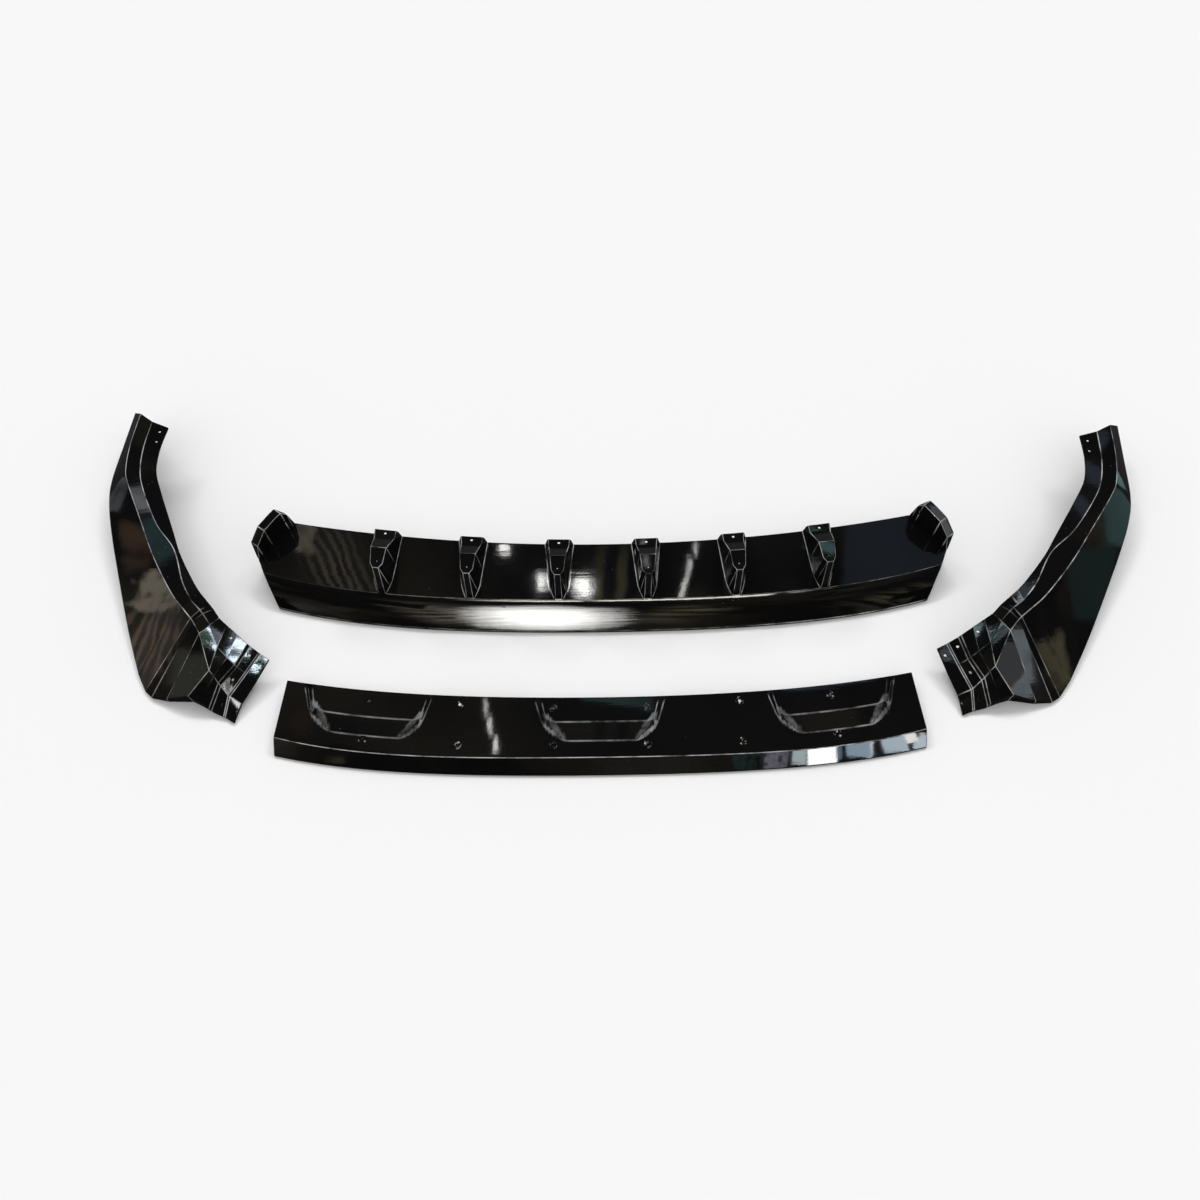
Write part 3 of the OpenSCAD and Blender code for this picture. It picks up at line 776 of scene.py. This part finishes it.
def gloss_black(name, seed):
    """Moulded gloss black plastic: soft waviness, orange peel, faint dust and haze, with painted highlights
    along its folds.
    """
    mat = new_material(name)
    nt = mat.node_tree
    place = add(nt, "TexCoord").outputs["Object"]

    def noise(scale, detail, offset, rough=0.5):
        shift = add(nt, "Mapping", {"Vector": place, "Location": (offset + seed, seed * 1.7, -seed)})
        return add(nt, "TexNoise", {"Vector": shift.outputs[0], "Scale": scale, "Detail": detail,
                                    "Roughness": rough}).outputs["Fac"]

    def bump(height, strength, distance, inputs):
        return add(nt, "Bump", {"Height": height, "Strength": strength, "Distance": distance,
                                **inputs}).outputs[0]

    # Near black, very slightly warmer and cooler in places, with fine dust
    tint = ramp(nt, noise(5, 3, 3), BLACKS)
    cells = add(nt, "TexVoronoi", {"Vector": place, "Scale": 85})
    speck = ramp(nt, cells.outputs["Distance"], [(0.0, 1.0), (0.035, 1.0), (0.06, 0.0)])
    dust = calc(nt, "MULTIPLY", speck, ramp(nt, noise(9, 2, 11), [(0.56, 0.0), (0.66, 1.0)]))
    # Painted highlights along the folds, brighter in some places than in others
    fold = add(nt, "Attribute", attribute_name="fold").outputs["Fac"]
    fold_highlight = calc(nt, "MULTIPLY", fold, ramp(nt, noise(26, 4, 23, 0.6), [(0.38, 0.08), (0.62, 1.0)]))
    colour = blend(nt, fold_highlight, blend(nt, dust, tint, DUST), FOLD_HIGHLIGHT_TONE)
    # Polished, with faint hazy wipes and rough dust
    haze = ramp(nt, noise(14, 5, 7, 0.6), [(0.35, 0.045), (0.62, 0.075), (0.8, 0.13)])
    rough = calc(nt, "ADD", haze, calc(nt, "MULTIPLY", dust, 0.5))
    # Slow waves of the sheet, then drawn lines, then orange peel
    wave = bump(noise(13, 2, 0), 0.35, 0.0012, {})
    stretch = add(nt, "Mapping", {"Vector": place, "Scale": DRAWN_SCALE})
    lines = add(nt, "TexNoise", {"Vector": stretch.outputs[0], "Scale": 1.0, "Detail": 3})
    drawn = bump(lines.outputs["Fac"], DRAWN, DRAWN_DEPTH, {"Normal": wave})
    peel = bump(noise(260, 2, 5), 0.12, 0.0002, {"Normal": drawn})
    bsdf = add(nt, "BsdfPrincipled", {"IOR": 1.52, "Base Color": colour, "Roughness": rough,
                                      "Normal": peel})
    add(nt, "OutputMaterial", {0: bsdf.outputs[0]})
    return mat


pieces = [
    (build_upper(), "upper_centre_splitter", 0.0),
    (build_plate(), "lower_centre_plate", 4.0),
    (build_corner("left_corner_panel", LEFT_AT, 0.0, False), "left_corner", 8.0),
    (build_corner("right_corner_panel", RIGHT_AT, RIGHT_TURN, True), "right_corner", 12.0)]
for obj, node, seed in pieces:
    obj.data.materials.clear()
    obj.data.materials.append(gloss_black("gloss_black_" + node, seed))
    for poly in obj.data.polygons:
        poly.material_index = 0
    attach(obj, "root")
    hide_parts(node)


# Camera, fitted to the photograph: place in metres, tilt and roll in degrees, sensor and lens in mm
CAMERA_AT, CAMERA_TILT, CAMERA_ROLL = (-0.0365, -0.7901, 1.4277), 28, -0.75
SENSOR, LENS, CLIP_END = 36, 28.5, 50
# Side and focal length of the picture in pixels
PICTURE = 1200
FOCAL = PICTURE * LENS / SENSOR

cam_data = bpy.data.cameras.new("camera")
cam_data.sensor_width = SENSOR
cam_data.lens = LENS
cam_data.clip_end = CLIP_END
camera = add_object("camera", cam_data)
tilt = Matrix.Rotation(math.radians(CAMERA_TILT), 4, "X")
roll = Matrix.Rotation(math.radians(CAMERA_ROLL), 4, "Z")
camera.matrix_world = Matrix.Translation(CAMERA_AT) @ (tilt @ roll)
bpy.context.scene.camera = camera
bpy.context.scene.view_settings.view_transform = "Standard"


# Stage and light
# Floor: half its side and its drop below the panels in metres, its tone, and its tone in the gloss
FLOOR_HALF, FLOOR_DROP = 9, 0.0003
FLOOR_TONE, FLOOR_IN_GLOSS = (0.96, 0.96, 0.96, 1), (0.06, 0.06, 0.063, 1)
# Level of the surroundings as light, and where the camera sees them
WORLD_LIGHT, WORLD_SEEN = 0.52, 0.94
# The dim room that gloss sees beside the reflectors
ROOM_TONES = [(0.0, (0.01, 0.012, 0.014)), (0.5, (0.012, 0.012, 0.012)), (0.6, (0.11, 0.095, 0.06)),
              (1.0, (1.0, 1.0, 1.0))]
ROOM_SCALE = 2.6
# Suns: how many, degrees between them, degrees above the floor, energy, width in degrees
SUNS, SUN_STEP, SUN_HEIGHT, SUN_ENERGY, SUN_WIDTH = 7, 14, 40, 0.32, 10


def build_floor():
    floor = rectangle("floor", FLOOR_HALF, FLOOR_HALF)
    floor.location.z = -FLOOR_DROP
    mat = new_material("pale_floor")
    nt = mat.node_tree
    tone = blend(nt, ray_is(nt, "Is Glossy Ray"), FLOOR_TONE, FLOOR_IN_GLOSS)
    bsdf = add(nt, "BsdfPrincipled", {"Base Color": tone, "Roughness": 0.9, "Specular IOR Level": 0.0})
    add(nt, "OutputMaterial", {0: bsdf.outputs[0]})
    floor.data.materials.append(mat)


def build_world():
    """Plain pale surroundings, and slow warm and cool patches that only gloss sees."""
    world = bpy.data.worlds.new("studio")
    bpy.context.scene.world = world
    world.use_nodes = True
    nt = world.node_tree
    nt.nodes.clear()
    level = add(nt, "MapRange", {"Value": ray_is(nt, "Is Camera Ray"), "To Min": WORLD_LIGHT,
                                 "To Max": WORLD_SEEN})
    soft = add(nt, "Background", {"Color": (1, 1, 1, 1), "Strength": level.outputs[0]})
    room = add(nt, "TexNoise", {"Scale": ROOM_SCALE, "Detail": 3})
    dim = add(nt, "Background", {"Color": ramp(nt, room.outputs["Fac"], ROOM_TONES), "Strength": 1.0})
    mixed = add(nt, "MixShader", {0: ray_is(nt, "Is Glossy Ray"), 1: soft.outputs[0], 2: dim.outputs[0]})
    add(nt, "OutputWorld", {0: mixed.outputs[0]})


def build_suns():
    """Soft light from behind and above, spread sideways, so the shadows lie in front."""
    for k in range(SUNS):
        data = bpy.data.lights.new("key_%d" % k, "SUN")
        data.energy = SUN_ENERGY
        data.angle = math.radians(SUN_WIDTH)
        sun = add_object("key_%d" % k, data)
        side, height = math.radians(SUN_STEP * (k - (SUNS - 1) / 2)), math.radians(SUN_HEIGHT)
        toward = Vector((math.sin(side) * math.cos(height), math.cos(side) * math.cos(height),
                         math.sin(height)))
        sun.rotation_euler = toward.to_track_quat("Z", "Y").to_euler()
        sun.visible_glossy = False


build_floor()
build_world()
build_suns()


# Reflectors: how much a kind of pattern is stretched
STRETCH = {"drawn": (0.6, 5, 1), "streaks": (0.5, 3, 1)}
# Torn edges: weight of the card's shape against the noise, lift of the lower and upper limit
TORN = {"drawn": (1.4, 0.4, 1.35), "noise": (0.7, 0.56, 0.62)}
# Shift of the pattern from one card to the next
NEXT_CARD = 3.1


def patterned(nt, place, pattern, mask, strength):
    """Works a pattern of (kind, scale, low, high) into a card's mask and strength."""
    kind, scale, low, high = pattern
    shift = (NEXT_CARD * len(bpy.data.materials), 1.7, 0)
    squeeze = add(nt, "Mapping", {"Vector": place, "Location": shift, "Scale": STRETCH.get(kind, (1, 1, 1))})
    inputs = {"Vector": squeeze.outputs[0], "Scale": scale, "Detail": 4}
    if kind == "bands":
        inputs.update({"Distortion": 4, "Detail Scale": 1.2})
    value = add(nt, "TexWave" if kind == "bands" else "TexNoise", inputs).outputs["Fac"]
    if kind in ("bands", "streaks"):
        return calc(nt, "MULTIPLY", mask, ranged(nt, value, low, high)), strength
    if kind == "veins":
        # Thin bright lines over a dim ground: low is their half width, high the ground
        off = calc(nt, "ABSOLUTE", calc(nt, "SUBTRACT", value, 0.5))
        glow = calc(nt, "MULTIPLY", ranged(nt, off, low, 0.0, ground=high), mask)
        return mask, calc(nt, "MULTIPLY", glow, strength)
    # Solid in the middle and torn towards the edges
    weight, low_lift, high_lift = TORN[kind]
    torn = calc(nt, "MULTIPLY_ADD", mask, weight, value)
    return ranged(nt, torn, low + low_lift, high + high_lift), strength


def card(name, size, colour, strength, edge, pattern=None):
    """A studio reflector that only gloss sees, with soft edges and an optional pattern."""
    w, h = size[0] / 2, size[1] / 2
    obj = rectangle(name, w, h)
    for attr in ("visible_camera", "visible_diffuse", "visible_shadow", "visible_transmission"):
        setattr(obj, attr, False)
    mat = new_material(name)
    nt = mat.node_tree
    place = add(nt, "TexCoord").outputs["Object"]
    split = add(nt, "SeparateXYZ", {0: place})
    sides = [ranged(nt, calc(nt, "ABSOLUTE", split.outputs[axis]), half, half * (1 - edge), "SMOOTHSTEP")
             for axis, half in ((0, w), (1, h))]
    mask = calc(nt, "MULTIPLY", *sides)
    if pattern:
        mask, strength = patterned(nt, place, pattern, mask, strength)
    emit = add(nt, "Emission", {0: (*colour, 1), 1: strength})
    clear = add(nt, "BsdfTransparent")
    mixed = add(nt, "MixShader", {0: mask, 1: clear.outputs[0], 2: emit.outputs[0]})
    add(nt, "OutputMaterial", {0: mixed.outputs[0]})
    obj.data.materials.append(mat)
    return obj


def hit(px, py):
    """Point and shading normal of the object seen at a pixel, the ray to it and the object."""
    half = PICTURE / 2
    d = camera.matrix_world.to_3x3() @ Vector(((px - half) / FOCAL, -(py - half) / FOCAL, -1))
    d.normalize()
    _, point, _, index, obj, _ = bpy.context.scene.ray_cast(graph, camera.matrix_world.translation, d)
    poly = obj.data.polygons[index]
    corners = [obj.data.vertices[v].co for v in poly.vertices]
    shares = poly_3d_calc(corners, obj.matrix_world.inverted() @ point)
    normals = obj.data.corner_normals
    normal = sum((normals[c].vector * f for c, f in zip(poly.loop_indices, shares)), Vector())
    normal.normalize()
    if normal.dot(d) > 0:
        normal = -normal
    return point, normal, d, obj


def light_only(obj, panel):
    """Lets a card be seen in the gloss of one panel alone."""
    name = "seen_by_" + panel.name
    only = bpy.data.collections.get(name) or bpy.data.collections.new(name)
    if panel.name not in only.objects:
        only.objects.link(panel)
    obj.light_linking.receiver_collection = only


# Common distance of a card from its panel in metres
NEAR = 0.35
# A card follows rays whose normals differ by so many degrees, on a curved face and on one facet,
# and whose points differ in height by so many metres
CURVED, FLAT, SAME_LEVEL = 25, 7, 0.03
# Rays along each side of a pixel box, and the fewest that place a card
SAMPLES, FEWEST = 7, 6


def patch(name, box, at, colour, strength, edge, pattern=None, distance=NEAR, spread=CURVED):
    """A reflector that a glossy face shows inside a box of pixels, aimed at the pixel at.

    The face may be curved: the card's size follows the reflected rays of the whole box."""
    x0, y0, x1, y1 = box
    point, normal, d, panel = hit(*at)
    r0 = d - 2 * d.dot(normal) * normal
    plane = point + r0 * distance
    rows, hits = [], []
    for i in range(SAMPLES):
        for j in range(SAMPLES):
            px, py = x0 + (x1 - x0) * i / (SAMPLES - 1), y0 + (y1 - y0) * j / (SAMPLES - 1)
            q, n, e, _ = hit(px, py)
            if n.angle(normal) > math.radians(spread) or abs(q.z - point.z) > SAME_LEVEL:
                continue
            r = e - 2 * e.dot(n) * n
            rows.append((1, px - (x0 + x1) / 2, py - (y0 + y1) / 2))
            hits.append(tuple(q + r * ((plane - q).dot(r0) / r.dot(r0))))
    if len(hits) < FEWEST:
        return
    fit = np.linalg.lstsq(np.array(rows), np.array(hits), rcond=None)[0]
    centre, ax, ay = Vector(fit[0]), Vector(fit[1]) * (x1 - x0), -Vector(fit[2]) * (y1 - y0)
    x = ax.normalized()
    up = ay - ay.dot(x) * x
    obj = card(name, (ax.length, up.length), colour, strength, edge, pattern)
    up.normalize()
    obj.matrix_world = Matrix.Translation(centre) @ Matrix((x, up, x.cross(up))).transposed().to_4x4()
    light_only(obj, panel)


OLIVE, BROWN, BEIGE = (0.42, 0.38, 0.22), (0.5, 0.3, 0.18), (0.62, 0.54, 0.42)
BLUE, TEAL, GREY, WHITE = (0.42, 0.55, 0.8), (0.3, 0.55, 0.55), (0.5, 0.52, 0.55), (1, 0.99, 0.96)
GREEN, RUST, MOSS = (0.12, 0.5, 0.08), (0.62, 0.45, 0.32), (0.4, 0.39, 0.32)
ICE, STEEL, MIST = (0.75, 0.88, 1), (0.6, 0.7, 0.75), (0.5, 0.65, 0.68)


# Cards: name, pixel box and aimed pixel, colour, strength, soft edge; some with pattern, distance, spread.
# A long window on the blade, and the dim room beside it
BLADE_CARDS = [
    ("streak", (420, 598, 666, 636), (543, 617), WHITE, 34, 0.95, ("drawn", 9, 0.4, 0.6), 0.8),
    ("blade_left", (388, 599, 510, 629), (440, 612), BEIGE, 5.5, 0.9, ("streaks", 6, 0.42, 0.7), 0.6),
    ("blade_next", (630, 598, 740, 627), (690, 612), OLIVE, 3.4, 0.9, ("streaks", 6, 0.42, 0.7), 0.6),
    ("blade_right", (850, 578, 946, 618), (895, 597), OLIVE, 1.8, 0.8, ("streaks", 9, 0.42, 0.7), 0.6)]
DECK_CARDS = [
    ("deck_beige", (284, 516, 324, 562), (318, 548), BEIGE, 1.9, 0.6, ("noise", 40, 0.42, 0.56)),
    ("deck_ripples", (314, 528, 372, 592), (350, 560), BEIGE, 1.1, 0.7, ("bands", 17, 0.45, 0.8)),
    ("deck_olive", (486, 536, 545, 598), (515, 570), OLIVE, 0.3, 0.9, ("noise", 14, 0.45, 0.8)),
    ("blob_a", (493, 541, 516, 558), (505, 549), WHITE, 28, 0.95, ("noise", 20, 0.35, 0.5), 0.7),
    ("blob_b", (534, 571, 553, 593), (534, 583), WHITE, 28, 0.95, None, 0.7),
    ("blob_c", (569, 573, 597, 599), (584, 586), WHITE, 44, 0.95, None, 0.7),
    ("deck_fan", (574, 550, 644, 604), (612, 580), OLIVE, 1.4, 0.9, ("bands", 7, 0.3, 0.9)),
    ("deck_middle", (656, 562, 730, 604), (700, 585), OLIVE, 0.4, 0.9, ("noise", 12, 0.45, 0.8)),
    ("deck_wisp_0", (692, 537, 698, 558), (695, 548), WHITE, 9, 0.8),
    ("deck_wisp_1", (685, 552, 692, 578), (688, 565), WHITE, 8, 0.8),
    ("deck_wisp_2", (677, 570, 684, 598), (681, 584), WHITE, 10, 0.8),
    ("deck_smoke", (760, 558, 816, 592), (785, 575), OLIVE, 0.25, 0.9, ("noise", 12, 0.45, 0.8)),
    ("deck_blue", (842, 500, 962, 590), (890, 550), BLUE, 0.3, 0.12, None, 0.5)]
FIN_AND_EAR_CARDS = [
    ("facet_four", (640, 552, 652, 570), (647, 558), GREY, 6, 0.5, ("veins", 20, 0.05, 0.1), NEAR, FLAT),
    ("facet_six", (820, 542, 836, 560), (828, 552), TEAL, 2.2, 0.1, None, NEAR, FLAT),
    ("ear_right_0", (930, 503, 944, 524), (938, 514), GREY, 2.6, 0.2, ("noise", 18, 0.35, 0.6), NEAR, FLAT),
    ("ear_right_1", (942, 518, 954, 546), (948, 528), GREY, 2.6, 0.2, ("noise", 18, 0.35, 0.6), 0.7, FLAT),
    ("ear_left", (250, 508, 276, 548), (262, 516), GREY, 1.6, 0.3, ("noise", 18, 0.4, 0.6))]
# Pocket floors, the dim front left and a bright wisp
PLATE_CARDS = [
    ("floor_mid", (570, 695, 668, 725), (620, 712), TEAL, 0.9, 0.4, ("noise", 12, 0.4, 0.6)),
    ("floor_right", (770, 676, 890, 716), (830, 698), BLUE, 1.1, 0.3, ("noise", 9, 0.35, 0.6)),
    ("plate_left", (276, 700, 334, 768), (290, 735), BROWN, 0.35, 0.9, ("noise", 9, 0.45, 0.75)),
    ("plate_wisp_0", (484, 696, 489, 720), (486, 708), WHITE, 9, 0.8),
    ("plate_wisp_1", (487, 712, 493, 740), (490, 726), WHITE, 12, 0.8),
    ("plate_wisp_2", (492, 732, 498, 758), (495, 745), WHITE, 14, 0.8),
    ("face_left", (300, 748, 372, 770), (335, 758), OLIVE, 2.2, 0.9, ("noise", 30, 0.5, 0.85))]
LEFT_CARDS = [
    ("left_beige", (128, 560, 190, 622), (160, 590), BEIGE, 1.9, 0.6, ("noise", 34, 0.42, 0.56)),
    ("left_ripples", (122, 604, 186, 680), (155, 640), RUST, 1.5, 0.6, ("bands", 11, 0.45, 0.8)),
    ("left_brown", (108, 504, 164, 592), (135, 550), BROWN, 0.55, 0.7, ("noise", 18, 0.4, 0.62)),
    ("left_upper", (110, 476, 130, 514), (120, 498), GREY, 0.8, 0.2, ("noise", 16, 0.35, 0.6)),
    ("left_wall", (126, 484, 150, 520), (139, 498), GREY, 3.2, 0.5, ("noise", 9, 0.35, 0.6)),
    ("left_wall_low", (146, 515, 178, 575), (160, 545), TEAL, 0.7, 0.5, ("noise", 9, 0.3, 0.6)),
    ("left_green", (202, 628, 213, 652), (208, 640), GREEN, 1.2, 0.2, ("noise", 14, 0.2, 0.4), NEAR, FLAT),
    ("left_olive", (174, 650, 200, 696), (188, 674), MOSS, 1.1, 0.35),
    ("left_step", (226, 624, 250, 668), (232, 642), ICE, 40, 0.12, ("veins", 20, 0.06, 0.07), NEAR, FLAT),
    ("left_strip", (216, 678, 234, 700), (225, 690), WHITE, 20, 0.3, ("veins", 24, 0.1, 0.1), NEAR, FLAT),
    ("left_flange", (232, 664, 268, 724), (250, 700), GREY, 0.9, 0.2, None, NEAR, FLAT)]
RIGHT_CARDS = [
    ("right_tip", (1112, 444, 1134, 494), (1122, 470), TEAL, 1.5, 0.3, ("noise", 12, 0.4, 0.6)),
    ("right_upper", (1106, 488, 1134, 548), (1120, 515), TEAL, 0.8, 0.2),
    ("right_panel", (1066, 540, 1118, 622), (1090, 580), TEAL, 0.22, 0.2),
    ("right_brown", (1032, 612, 1084, 706), (1056, 650), OLIVE, 1.5, 0.6, ("noise", 26, 0.42, 0.6)),
    ("right_flange", (1083, 434, 1104, 490), (1092, 460), BLUE, 0.6, 0.3),
    ("right_inner", (1052, 488, 1086, 536), (1070, 508), BLUE, 1.2, 0.5, ("noise", 9, 0.3, 0.65)),
    ("right_facet", (1012, 622, 1030, 694), (1020, 640), STEEL, 3.2, 0.3,
     ("noise", 16, 0.3, 0.6), NEAR, FLAT),
    ("right_plain", (994, 632, 1030, 704), (1005, 680), GREY, 1.4, 0.15, None, NEAR, FLAT),
    ("right_mottle", (986, 606, 1012, 652), (1000, 628), MIST, 8, 0.3, ("veins", 20, 0.05, 0.12), NEAR, FLAT),
    ("right_step", (1012, 580, 1030, 618), (1020, 598), ICE, 8, 0.3, ("veins", 20, 0.05, 0.1), NEAR, FLAT)]
# Bright stripes along the right of the plate's front face: start and end pixel, strength, colour
STRIPES = [(730, 764, 0.7, TEAL), (766, 790, 4, (0.72, 0.68, 0.85)), (792, 806, 9, (0.75, 0.88, 0.92)),
           (806, 837, 24, (0.97, 1, 1)), (837, 842, 4, BLUE), (846, 871, 7.5, (0.6, 0.78, 0.95)),
           (873, 877, 13, (0.8, 0.9, 1)), (881, 908, 10, ICE), (908, 911, 16, WHITE),
           (918, 926, 11, (0.8, 0.9, 1))]
# Middle of the face at its first stripe, its slope and half height in pixels
FACE_X, FACE_Y, FACE_SLOPE, FACE_HALF = 740, 762, 0.115, 9
# Soft edge and distance of the stripes, and the ones with a pattern
STRIPE_EDGE, STRIPE_AWAY, MOTTLED, MOTTLE = 0.12, 0.25, (0, 1), ("veins", 60, 0.12, 0.1)
# Strip that the crease of the upper panel picks up: place and size in metres, colour, strength, edge
OVERHEAD_AT, OVERHEAD_SIZE = (0.2, -0.15, 2.4), (1.9, 0.2)
OVERHEAD_COLOUR, OVERHEAD_STRENGTH, OVERHEAD_EDGE = (1, 0.97, 0.88), 18, 0.5


def stripes():
    for k, (a, b, strength, colour) in enumerate(STRIPES):
        x = (a + b) / 2
        y = FACE_Y - FACE_SLOPE * (x - FACE_X)
        pattern = MOTTLE if k in MOTTLED else None
        box = (a, y - FACE_HALF, b, y + FACE_HALF)
        patch("stripe_%d" % k, box, (x, y), colour, strength, STRIPE_EDGE, pattern, STRIPE_AWAY)


def overhead(panel):
    """A strip above the upper panel that its crease picks up as a line."""
    strip = card("overhead", OVERHEAD_SIZE, OVERHEAD_COLOUR, OVERHEAD_STRENGTH, OVERHEAD_EDGE)
    down = Vector((0, 0, -1)).to_track_quat("Z", "Y")
    strip.matrix_world = Matrix.Translation(OVERHEAD_AT) @ down.to_matrix().to_4x4()
    light_only(strip, panel)


bpy.context.view_layer.update()
graph = bpy.context.evaluated_depsgraph_get()
for cards in (BLADE_CARDS, DECK_CARDS, FIN_AND_EAR_CARDS, PLATE_CARDS, LEFT_CARDS, RIGHT_CARDS):
    for values in cards:
        patch(*values)
stripes()
overhead(pieces[0][0])
